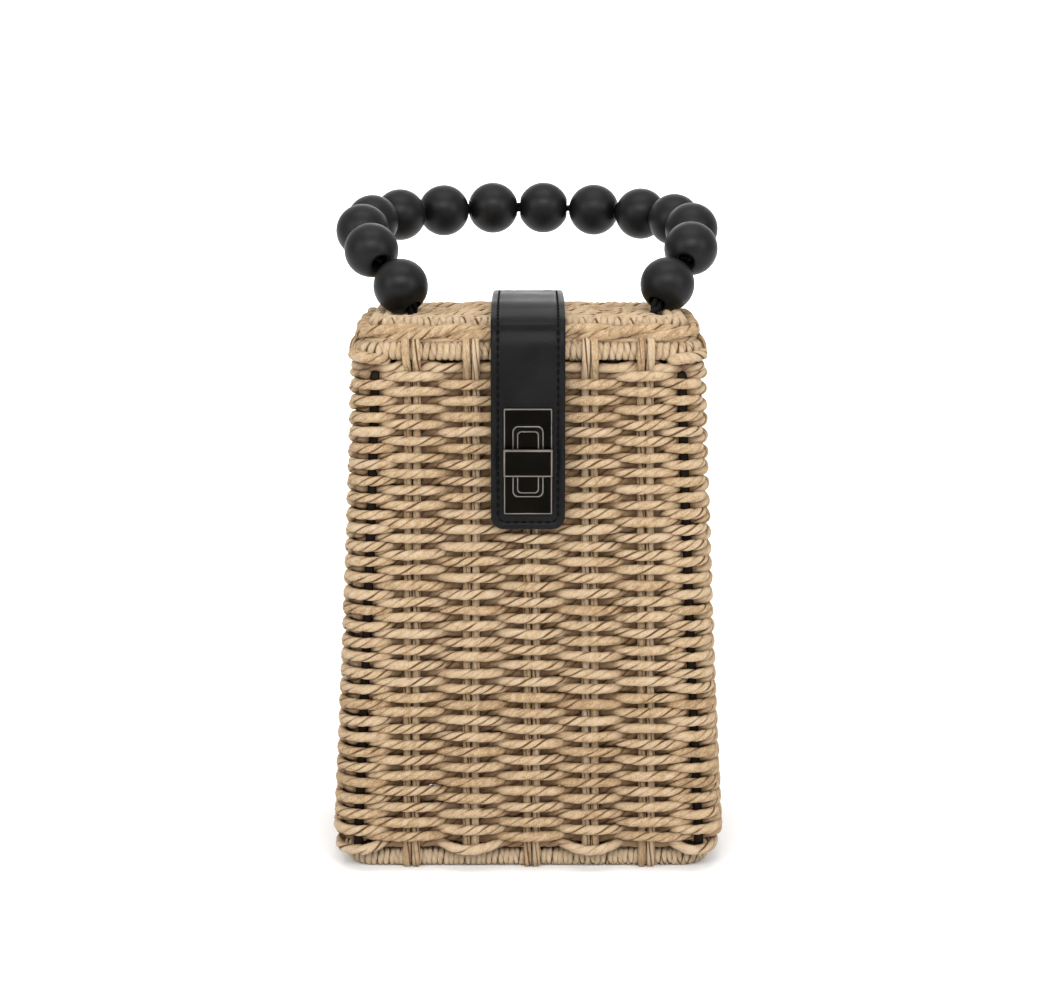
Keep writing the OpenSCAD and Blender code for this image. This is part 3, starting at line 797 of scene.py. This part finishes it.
def build_lid():
    outer_w, outer_d = border_high[0], border_high[1]
    shape = Shape()
    twined_ring(shape, outer_w - 4.4, outer_d - 3.3, 8.2, BORDER_Z, 1.7, 2.15, 46.0)
    # a rope inside the twined pair hides the border's wire
    rope_ring(shape, outer_w - 3.8, outer_d - 3.8, 5.4, border_low[2] + 3.8, 1.2, 1.95, 1.95, depth=0.08,
              sides=12, tint=-0.03)
    hand_over(shape, "lid_twined_border", STRAW, "lid", "straw", "lid_border")
    shape = Shape()
    wrapped_ring(shape, outer_w - 9.6, outer_d - 9.6, 4.6, BORDER_Z + 2.6, 3.1, 2.75, 1.7)
    hand_over(shape, "lid_wrapped_ring", STRAW, "lid", "straw")
    shape = Shape()
    rope_ring(shape, outer_w - 13.3, outer_d - 13.3, 3.2, BORDER_Z + 4.2, 0.9, 1.75, 1.75, tint=0.02)
    reach_x, reach_y = outer_w - 13.5, outer_d - 14.5
    count = int(2 * reach_y / LID_ROW_PITCH) + 1
    for j in range(count):
        y = (j - (count - 1) / 2) * LID_ROW_PITCH
        x = np.arange(-reach_x, reach_x + 0.1, 0.9)
        swing = np.cos(np.pi * (x / STAKE_PITCH + j % 2))
        drop = 2.6 * np.clip((np.abs(x) - reach_x + 7) / 7, 0, 1) ** 2
        wave = 0.5 * np.cos(2 * np.pi * (np.abs(x) - 20) / 31)
        under_strap = 1.3 * np.exp(-((x / 14) ** 4))
        z = dome(x, y) - LID_MID + 1.1 * swing - drop + wave + under_strap
        side = y + 0.35 * noise_along(x + reach_x, 14.0, False)
        path = np.column_stack([x, side, z])
        strand(shape, path, UP, 1.95 + 0.2 * np.abs(swing), 1.75, sides=15, tint=rng.normal() * 0.04)
    hand_over(shape, "lid_woven_top", STRAW, "lid", "straw", "lid_weave")
    shape = Shape()
    for i in range(-2, 3):
        for e in (-0.5, 0.5):
            y = np.arange(-outer_d + 7, outer_d - 6.9, 1.2)
            x = np.full_like(y, i * STAKE_PITCH + e * PAIR_GAP)
            path = np.column_stack([x, y, dome(x, y) - LID_MID])
            path[:, 2] -= 3.0 * np.clip((np.abs(y) - 15) / 15, 0, 1) ** 1.5
            strand(shape, path, UP, 1.5, 1.1, lay=70.0, lobes=4, depth=0.16, sides=12,
                   tint=rng.normal() * 0.03)
    hand_over(shape, "lid_stake_strands", STRAW, "lid", "straw", "lid_stakes")


def build_hinge_loops():
    """Two-ply rope links round the back of the top rim and the back of the lid's border."""
    axis = np.array([HALF_D - RIM_R, RIM_TOP - RIM_R])
    upper = np.array([border_high[1] - 3.8, (border_low[2] + border_high[2]) / 2 - 0.9])
    up = unit((upper - axis)[None])[0]
    side = np.array([up[1], -up[0]])
    for name, x in (("left", -LOOP_X), ("right", LOOP_X)):
        line = []
        for centre, start, reach in ((axis, 180, RIM_R + 1.5), (upper, 0, 4.5)):
            for a in np.radians(np.arange(start, start + 181, 12)):
                line.append(centre + reach * (math.cos(a) * side + math.sin(a) * up))
        line = np.array(line)
        dense = smooth_path(np.concatenate([line, line[:1]]), 1.0)[:-1]
        path = np.column_stack([np.full(len(dense), x), dense])
        middle = (axis + upper) / 2
        normals = np.column_stack([np.zeros(len(dense)), dense - middle])
        shape = Shape()
        for dx in (-1.3, 1.3):
            strand(shape, path + np.array([dx, 0, 0]), normals, 1.45, 1.3, lay=12.0, sides=12,
                   closed=True, tint=rng.normal() * 0.03)
        hand_over(shape, f"hinge_link_{name}", STRAW, "lid", "straw", f"hinge_loop_{name}")


# ---- strap ----

flap_low, flap_high = node_box("strap_flap")
lining_low, lining_high = node_box("strap_flap_lining")
STRAP_HALF = flap_high[0]
FLAP_FRONT = flap_low[1]
FLAP_END = flap_low[2]
STRAP_T = lining_high[1] - flap_low[1]
END_ROUND = 5.0
STITCH_IN = 2.8
# height of the strap's underside above the lid's surface, and of the fold above the rim
STRAP_RISE = 2.0
FOLD_Z = RIM_TOP + 6.4


def strap_line():
    """The strap's outer surface from its riveted end, over the lid, to its lower end, as (y, z)."""
    strap_end = node_box("strap_top")[1][1]
    top = [(y, dome(0.0, float(y)) + STRAP_RISE + STRAP_T) for y in (strap_end, 16, 8, 0, -10, -19, -27)]
    # over the lid's edge it drops steeply, then slopes out over the rim before it hangs straight
    bend = [(-34.0, 6.1), (-39.0, 4.5), (-42.0, 3.3), (-43.35, 2.2), (-43.8, 0.5), (-44.0, -1.3),
            (-44.75, -3.5), (-45.5, -5.7), (-46.1, -9.1), (-46.5, -13.0), (-46.6, -19.0), (-46.6, -30.0)]
    bend = [(y, FOLD_Z + z) for y, z in bend]
    bend += [(FLAP_FRONT, FLAP_END + z) for z in (22, 8, 0)]
    return smooth_path([(0.0, y, z) for y, z in top + bend], 0.7)


def distance_in(x, s, total):
    """Distance from a point of the strap in to its nearest edge; its lower end has round corners."""
    side = STRAP_HALF - np.abs(x)
    end = total - s
    inner = (side < END_ROUND) & (end < END_ROUND)
    round_in = END_ROUND - np.hypot(END_ROUND - side, END_ROUND - end)
    return np.where(inner, round_in, np.minimum(side, np.minimum(end, s)))


def rolled_edge(d, radius):
    """Height of a quarter round at distance d from an edge, below the face it leads to."""
    return np.sqrt(np.clip(1 - (1 - np.clip(d / radius, 0, 1)) ** 2, 0, 1)) * radius - radius


def strap_profile(d):
    """Height of the strap's face at distance d from its edge: a rolled edge and a stitched channel."""
    edge = rolled_edge(d, 0.8)
    channel = -0.34 * np.exp(-(((d - STITCH_IN) / 0.5) ** 2))
    roll = 0.16 * np.exp(-(((d - 1.35) / 0.6) ** 2))
    crown = 0.1 * np.clip((d - 3.4) / 3, 0, 1)
    return edge + channel + roll + crown


class StrapSurface:
    """The strap's face, on which a point is given by x across it and s along it."""

    def __init__(self):
        self.line = strap_line()
        self.normals = np.cross(unit(np.gradient(self.line, axis=0)), np.array([1.0, 0, 0]))
        inward = (self.normals @ np.array([0, -1.0, 1.0]))[:, None] < 0
        self.normals = np.where(inward, -self.normals, self.normals)
        self.s = run_along(self.line)
        self.total = self.s[-1]

    def out(self, s):
        return unit(np.stack([np.interp(s, self.s, self.normals[:, i]) for i in range(3)], -1))

    def point(self, x, s, height):
        """A point that stands out from the face by height."""
        base = np.stack([np.interp(s, self.s, self.line[:, i]) for i in range(3)], -1)
        base = base + self.out(s) * np.asarray(height)[..., None]
        base[..., 0] = x
        return base


def build_strap(surface):
    total = surface.total
    # points stand closer where the rolled edges and the stitched channel are
    near_end = [0, 0.06, 0.2, 0.45, 0.8, 1.2, 1.6, 2.0, 2.4, 2.8, 3.2, 3.6, 4.1, 4.6, 5.2, 6.0, 7.0]
    near_end = total - np.array(near_end)
    s = np.concatenate([[0, 0.1, 0.4, 0.8], np.arange(1.4, total - 7.6, 0.8), near_end[::-1]])
    edge = np.array([0, 0.05, 0.2, 0.45, 0.8, 1.15, 1.5, 1.9, 2.25, 2.55, 2.8, 3.05, 3.35, 3.8, 4.6, 5.8,
                     7.4, 9.4, 11.8])
    half = np.concatenate([-(STRAP_HALF - edge), [0], (STRAP_HALF - edge)[::-1]]) / STRAP_HALF
    end = np.clip(END_ROUND - (total - s), 0, END_ROUND)
    width = STRAP_HALF - END_ROUND + np.sqrt(np.maximum(END_ROUND**2 - end**2, 0.01))
    x = width[:, None] * half[None, :]
    ss = np.broadcast_to(s[:, None], x.shape)
    d = np.maximum(distance_in(x, ss, total), 0)
    front = surface.point(x, ss, strap_profile(d))
    back = surface.point(x, ss, -STRAP_T - rolled_edge(d, 0.6) + 0.05)
    rows, columns = x.shape
    face = Shape()
    quads = grid_faces(rows, columns, False, False)
    face.add(front.reshape(-1, 3), quads[:, ::-1])
    face.add(back.reshape(-1, 3), quads, slot=1)
    n = rows * columns
    across, along = np.arange(columns), np.arange(rows) * columns
    rim = [across, along + columns - 1, (rows - 1) * columns + across[::-1], along[::-1]]
    rim = np.concatenate([r[:-1] for r in rim])
    after = np.roll(rim, -1)
    face.quads.append(np.stack([rim, after, after + n, rim + n], -1))
    face.slots.append(np.zeros(len(rim), int))
    return face.build("leather_strap", [LEATHER, LINING])


def stitch_shape(shape, start, end, out, radius):
    """One stitch: a short thick thread that dives at both ends."""
    t = np.linspace(0, 1, 7)
    dive = np.clip(np.abs(t - 0.5) * 2, 0, 1) ** 4 * radius * 1.3
    path = start[None] + (end - start)[None] * t[:, None] - out[None] * dive[:, None]
    size = radius * np.sqrt(np.clip(1 - (np.abs(t - 0.5) * 1.9) ** 6, 0.05, 1))
    strand(shape, path, out, size, size, lay=2.2, lobes=2, depth=0.15, sides=8)


STITCH_PITCH = 3.1
STITCH_R = 0.42


def build_stitches(surface):
    reach = STRAP_HALF - STITCH_IN
    corner = END_ROUND - STITCH_IN + 0.6
    low = surface.total - STITCH_IN
    turn = np.linspace(0, math.pi / 2, 8)
    points = [(-reach, s) for s in np.arange(3.0, low - corner, 0.5)]
    points += [(-reach + corner - corner * math.cos(a), low - corner + corner * math.sin(a))
               for a in turn]
    points += [(x, low) for x in np.arange(-reach + corner, reach - corner, 0.5)]
    points += [(reach - corner + corner * math.sin(a), low - corner + corner * math.cos(a)) for a in turn]
    points += [(reach, s) for s in np.arange(low - corner, 3.0, -0.5)]
    points = np.array(points)
    run = run_along(points)
    shape = Shape()
    for k in range(int(run[-1] / STITCH_PITCH)):
        ends = []
        for at in (k * STITCH_PITCH + 0.3, k * STITCH_PITCH + STITCH_PITCH - 0.45):
            x, s = np.interp(at, run, points[:, 0]), np.interp(at, run, points[:, 1])
            ends.append(surface.point(x, s, -0.13))
        stitch_shape(shape, ends[0], ends[1], surface.out(s), STITCH_R)
    return shape.build("strap_stitches", [THREAD])


def finish_strap():
    surface = StrapSurface()
    strap = build_strap(surface)
    stitches = build_stitches(surface)
    for piece in (strap, stitches):
        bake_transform(piece)
    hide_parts("strap_top", "strap_top_lining", "strap_flap", "strap_flap_lining")


def build_rivets():
    """Two low domed rivets through the strap's end and the lid."""
    low, high = node_box("strap_rivets")
    y = (low[1] + high[1]) / 2
    shape = Shape()
    top = dome(0.0, y) + STRAP_RISE + STRAP_T + 0.1
    head = [(0.01, 0.2), (0.9, 0.19), (1.8, 0.14), (2.5, 0.05), (2.8, -0.1), (1.4, -0.15)]
    foot = [(1.4, 0.8), (2.9, 0.75), (3.0, 0.3), (2.6, 0.02), (0.01, 0)]
    profile = np.array([(r, top + z) for r, z in head] + [(r, low[2] + z) for r, z in foot])
    for x in (low[0] + 3.4, high[0] - 3.4):
        shape.add(*lathe(profile, 32, UP, np.array([x, y, 0])))
    hand_over(shape, "strap_rivet_heads", GUNMETAL, "lid", "lock_metal", "strap_rivets")


# ---- lock ----


def round_loop(half_w, half_h, r, y):
    """A round-cornered rectangle of points in the lock's plane, at depth y."""
    points = []
    for cx, cz, start in ((1, 1, 0), (-1, 1, 90), (-1, -1, 180), (1, -1, 270)):
        for a in np.radians(start + np.linspace(0, 90, 7)):
            points.append([cx * (half_w - r) + r * math.cos(a), y, cz * (half_h - r) + r * math.sin(a)])
    return np.array(points)


def nested(half_w, half_h, rings):
    """Loops round one middle: how much larger than the half sizes, corner radius and depth of each."""
    return [round_loop(*(np.array([half_w, half_h]) + grow), r, y) for grow, r, y in rings]


def banded(name, loops, centre, highlight_bands, fill, body, replaced):
    """A plate built from nested loops, some of whose edge bands get a brighter metal as a painted
    highlight; fill closes the last loop.
    """
    shape = Shape()
    count = len(loops[0])
    for k, (a, b) in enumerate(zip(loops[:-1], loops[1:])):
        points = np.concatenate([a, b]) + centre
        i = np.arange(count)
        j = (i + 1) % count
        quads = np.stack([i, j, j + count, i + count], -1)
        shape.add(points, quads[:, ::-1], slot=1 if k in highlight_bands else 0)
    if fill:
        last = loops[-1] + centre
        points = np.concatenate([last, last.mean(0, keepdims=True)])
        i = np.arange(count)
        tris = np.stack([i, (i + 1) % count, np.full(count, count), np.full(count, -1)], -1)
        shape.add(points, tris[:, [1, 0, 2, 3]])
    piece = shape.build(name, [GUNMETAL, EDGE_HIGHLIGHT], smooth=False)
    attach(piece, body)
    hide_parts(replaced)


# half sizes of the slot in the lock's plate and of the raised block in it
SLOT_W = 5.55
SLOT_H = 13.5
BLOCK_W = 4.3
BLOCK_H = 12.3


def build_lock():
    low, high = node_box("lock_plate")
    centre = np.array([0, 0, (low[2] + high[2]) / 2])
    back, front = high[1], low[1]
    sunk = front + 0.28
    loops = nested(high[0] - 0.4, (high[2] - low[2]) / 2, [
        (0, 0.5, back), (0, 0.5, front + 0.2), (-0.15, 0.45, front), (-0.45, 0.4, front),
        (-0.7, 0.4, sunk)])
    loops += nested(SLOT_W, SLOT_H, [
        (1.25, 2.6, sunk), (1.05, 2.5, front + 0.1), (0.5, 2.2, front + 0.1), (0.4, 2.1, front),
        (0.1, 2.0, front), (0, 2.0, front + 0.2), (0, 2.0, back)])
    # the bevels round the plate and round the slot carry the painted highlight
    banded("lock_front_plate", loops, centre, (1, 2, 7, 8, 9), False, "strap_flap", "lock_plate")
    low, high = node_box("lock_block")
    back, front = high[1], low[1]
    foot = (2.3, 3)
    loops = nested(BLOCK_W, BLOCK_H, [
        (foot, 1.5, back), (foot, 1.5, back - 0.9), (0, 1.7, back - 1.0), (0, 1.7, front + 0.25),
        (-0.15, 1.6, front), (-0.45, 1.4, front), (-0.7, 1.3, front + 0.15)])
    # the block's front bevel carries the painted highlight
    banded("lock_raised_block", loops, centre, (3, 4), True, "strap_flap", "lock_block")
    low, high = node_box("toggle_bar")
    back, front = high[1], low[1]
    loops = nested(high[0], (high[2] - low[2]) / 2, [
        (-0.4, 0.3, back), (0, 0.4, back - 0.4), (0, 0.4, front + 0.6), (-0.35, 0.35, front + 0.05),
        (-0.7, 0.3, front), (-0.95, 0.3, front + 0.12)])
    # the bar's front bevel carries the painted highlight
    banded("lock_turning_bar", loops, centre, (2, 3), True, "toggle", "toggle_bar")


# ---- handle ----


BEADS = 14
BEAD_R = 11.05
BEAD_BORE = 3.3
BEAD_LIP = 0.7


def bead_centres():
    return np.array([sum(node_box(f"bead_{n:02d}")) / 2 for n in range(1, BEADS + 1)])


def lathe(profile, segments, axis, centre):
    """Points and quads of a closed profile (radius, height) turned about an axis through centre."""
    axis = unit(axis)
    side = unit(np.cross(axis, [0.31, 0.17, 0.93]))
    other = np.cross(axis, side)
    a = 2 * np.pi * np.arange(segments) / segments
    ring = np.cos(a)[:, None] * side + np.sin(a)[:, None] * other
    points = centre + profile[:, None, 0, None] * ring[None] + profile[:, None, 1, None] * axis
    return points.reshape(-1, 3), grid_faces(len(profile), segments, True)


def bead_profile(radius, bore, lip):
    """Half section of a bored bead: the ball, a round lip into the bore, and the bore's wall."""
    mouth = math.asin((bore + lip) / radius)
    a = np.linspace(mouth, math.pi - mouth, 40)
    ball = np.stack([radius * np.sin(a), radius * np.cos(a)], -1)
    z = ball[0, 1]
    lips = []
    for sign in (-1, 1):
        t = np.linspace(0.25, 1, 5) * math.pi / 2
        r = bore + lip - lip * np.sin(t)
        h = z - lip * 0.9 * (1 - np.cos(t))
        lips.append(np.stack([r, sign * h], -1))
    wall = np.stack([np.full(6, bore), np.linspace(-z + lip * 0.9, z - lip * 0.9, 6)], -1)[1:-1]
    return np.concatenate([ball, lips[0], wall, lips[1][::-1]])


def build_beads(centres):
    anchors = cord_anchors()
    profile = bead_profile(BEAD_R, BEAD_BORE, BEAD_LIP)
    for n in range(1, BEADS + 1):
        if n == 1:
            axis = unit(centres[0] - anchors[0]) + unit(centres[1] - centres[0])
        elif n == BEADS:
            axis = unit(centres[-1] - anchors[1]) + unit(centres[-2] - centres[-1])
        else:
            axis = centres[n] - centres[n - 2]
        shape = Shape()
        shape.add(*lathe(profile, 56, axis, centres[n - 1]))
        body = "lid" if n in (1, BEADS) else "handle"
        hand_over(shape, f"turned_bead_{n:02d}", LACQUER, body, "bead", f"bead_{n:02d}")


def cord_anchors():
    anchors = []
    for side in ("left", "right"):
        low, high = node_box(f"cord_washer_{side}")
        x, y = (low[:2] + high[:2]) / 2
        anchors.append(np.array([x, y, dome(x, y)]))
    return anchors


def twin_strands(shape, path, lay, radius):
    """Two cords side by side that turn slowly round each other."""
    tangent = unit(np.gradient(path, axis=0))
    side = unit(np.cross(tangent, [0.2, 0.35, 0.9]))
    other = np.cross(tangent, side)
    s = run_along(path)
    for start in (0, math.pi):
        a = start + 2 * np.pi * s / lay
        middle = path + radius * (np.cos(a)[:, None] * side + np.sin(a)[:, None] * other)
        strand(shape, middle, side, radius * 1.02, radius * 1.02, lay=6.0, depth=0.12, sides=10)


def build_cords(centres):
    anchors = cord_anchors()
    shape = Shape()
    points = []
    for n in range(2, BEADS):
        axis = unit(centres[n] - centres[n - 2])
        points += [centres[n - 1] - 8 * axis, centres[n - 1] + 8 * axis]
    twin_strands(shape, smooth_path(points, 1.5), 60.0, 1.1)
    hand_over(shape, "handle_cord_strands", CORD, "handle", "cord", "handle_cord")
    ends = ("left", anchors[0], centres[0], centres[1]), ("right", anchors[1], centres[-1], centres[-2])
    for name, anchor, end, after in ends:
        axis = unit(unit(end - anchor) + unit(after - end))
        route = [anchor - 9.0 * UP, anchor - 1.5 * UP, end - 9.6 * axis, end, end + 8 * axis]
        shape = Shape()
        twin_strands(shape, smooth_path(route, 1.0), 70.0, 1.12)
        hand_over(shape, f"cord_end_{name}", CORD, "lid", "cord", f"cord_tail_{name}")
        middle = sum(node_box(f"cord_knot_{name}")) / 2
        # an overhand knot drawn up tight
        a = np.linspace(0, 2 * np.pi, 90, endpoint=False)
        r = 2.0 + 0.9 * np.cos(3 * a)
        knot = np.stack([r * np.cos(2 * a), r * np.sin(2 * a), 1.2 * np.sin(3 * a)], -1) + middle
        shape = Shape()
        strand(shape, knot, knot - middle, 1.15, 1.15, lay=6.0, depth=0.12, sides=10, closed=True)
        hand_over(shape, f"cord_stopper_knot_{name}", CORD, "lid", "cord", f"cord_knot_{name}")


# ---- stage, lights and camera ----


FLOOR_REACH = 6000
FLOOR_BACK = 1500
SWEEP_R = 1200
BACKDROP_TOP = 5000


def build_stage():
    """A pale floor that curves up into a backdrop."""
    a = np.linspace(0, math.pi / 2, 13)[1:]
    flat = np.linspace(-2500, FLOOR_BACK, 9)
    y = np.concatenate([[-FLOOR_REACH], flat, FLOOR_BACK + SWEEP_R * np.sin(a), [FLOOR_BACK + SWEEP_R]])
    z = np.concatenate([np.zeros(10), SWEEP_R * (1 - np.cos(a)), [BACKDROP_TOP]])
    x = np.linspace(-FLOOR_REACH, FLOOR_REACH, 9)
    points = np.stack(np.broadcast_arrays(x, y[:, None], z[:, None]), -1)
    shape = Shape()
    shape.add(points.reshape(-1, 3), grid_faces(len(y), len(x), False, False))
    material, tree, bsdf = shader("studio_floor")
    bsdf.inputs["Base Color"].default_value = (0.93, 0.93, 0.93, 1)
    bsdf.inputs["Roughness"].default_value = 0.9
    bsdf.inputs["Specular IOR Level"].default_value = 0.1
    shape.build("studio_floor", [material])


def area_light(name, place, target, size, power):
    light = bpy.data.lights.new(name, "AREA")
    light.shape = "RECTANGLE"
    light.size, light.size_y = size
    light.energy = power
    obj = bpy.data.objects.new(name, light)
    obj.location = place
    obj.rotation_euler = (Vector(target) - Vector(place)).to_track_quat("-Z", "Y").to_euler()
    bpy.context.scene.collection.objects.link(obj)


def build_lights():
    """A studio that is bright above and at both sides, and dark behind the camera."""
    world = bpy.data.worlds.new("studio")
    bpy.context.scene.world = world
    world.use_nodes = True
    tree = world.node_tree
    direction = add_node(tree, "ShaderNodeTexCoord").outputs["Generated"]
    split = add_node(tree, "ShaderNodeSeparateXYZ", [("Vector", direction)])
    up = math_node(tree, "MULTIPLY", split.outputs["Z"], 1.0, clamp=True)
    behind = math_node(tree, "MULTIPLY", split.outputs["Y"], 1.0, clamp=True)
    strength = math_node(tree, "ADD", weighted(tree, (up, 0.6), (behind, 1.5)), 0.3)
    background = tree.nodes["Background"]
    background.inputs["Color"].default_value = (1, 1, 1, 1)
    tree.links.new(strength, background.inputs["Strength"])
    aim = (0, 0, 0.12)
    for name, side in (("left_box", -1), ("right_box", 1)):
        area_light(name, (side * 1.15, -0.95, 0.7), aim, (0.7, 0.9), 6.5)
    area_light("front_box", (0, -1.15, 1.0), aim, (1.1, 0.4), 11)
    area_light("top_box", (0, -0.2, 1.45), aim, (1.1, 0.6), 5)
    area_light("backdrop_box", (0, 0.9, 1.5), (0, 2.7, 0.5), (2.0, 0.6), 60)


# in metres, degrees and, for the lens, millimetres
CAMERA_DISTANCE = 0.907
CAMERA_TILT = 10.5
CAMERA_AIM_Z = RIM_TOP * MM - 0.0679
CAMERA_LENS = 75.0


def build_camera():
    data = bpy.data.cameras.new("camera")
    data.lens = CAMERA_LENS
    data.sensor_width = 36.0
    data.clip_end = 50.0
    obj = bpy.data.objects.new("camera", data)
    tilt = math.radians(CAMERA_TILT)
    obj.location = (0, -CAMERA_DISTANCE * math.cos(tilt), CAMERA_AIM_Z + CAMERA_DISTANCE * math.sin(tilt))
    obj.rotation_euler = (math.pi / 2 - tilt, 0, 0)
    bpy.context.scene.collection.objects.link(obj)
    bpy.context.scene.camera = obj
    bpy.context.scene.view_settings.view_transform = "Standard"


def dress_cad_nodes():
    """Finishes for the CAD nodes that are shown as they are."""
    wires = ("base_rim_wire", "lid_border_wire")
    fittings = ("lock_base_plate", "lock_backing_plate", "lock_base_rivets", "cord_washer_left",
                "cord_washer_right", "toggle_spindle")
    for material, names in ((WIRE, wires), (GUNMETAL, fittings)):
        for name in names:
            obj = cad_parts[name]
            obj.data.materials.clear()
            obj.data.materials.append(material)


build_camera()
build_stage()
build_lights()
weave = build_weave()
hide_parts("wall_weave")
build_stakes()
build_rims()
build_corner_stubs()
build_base()
build_lid()
build_hinge_loops()
finish_strap()
build_rivets()
build_lock()
centres = bead_centres()
build_beads(centres)
build_cords(centres)
dress_cad_nodes()
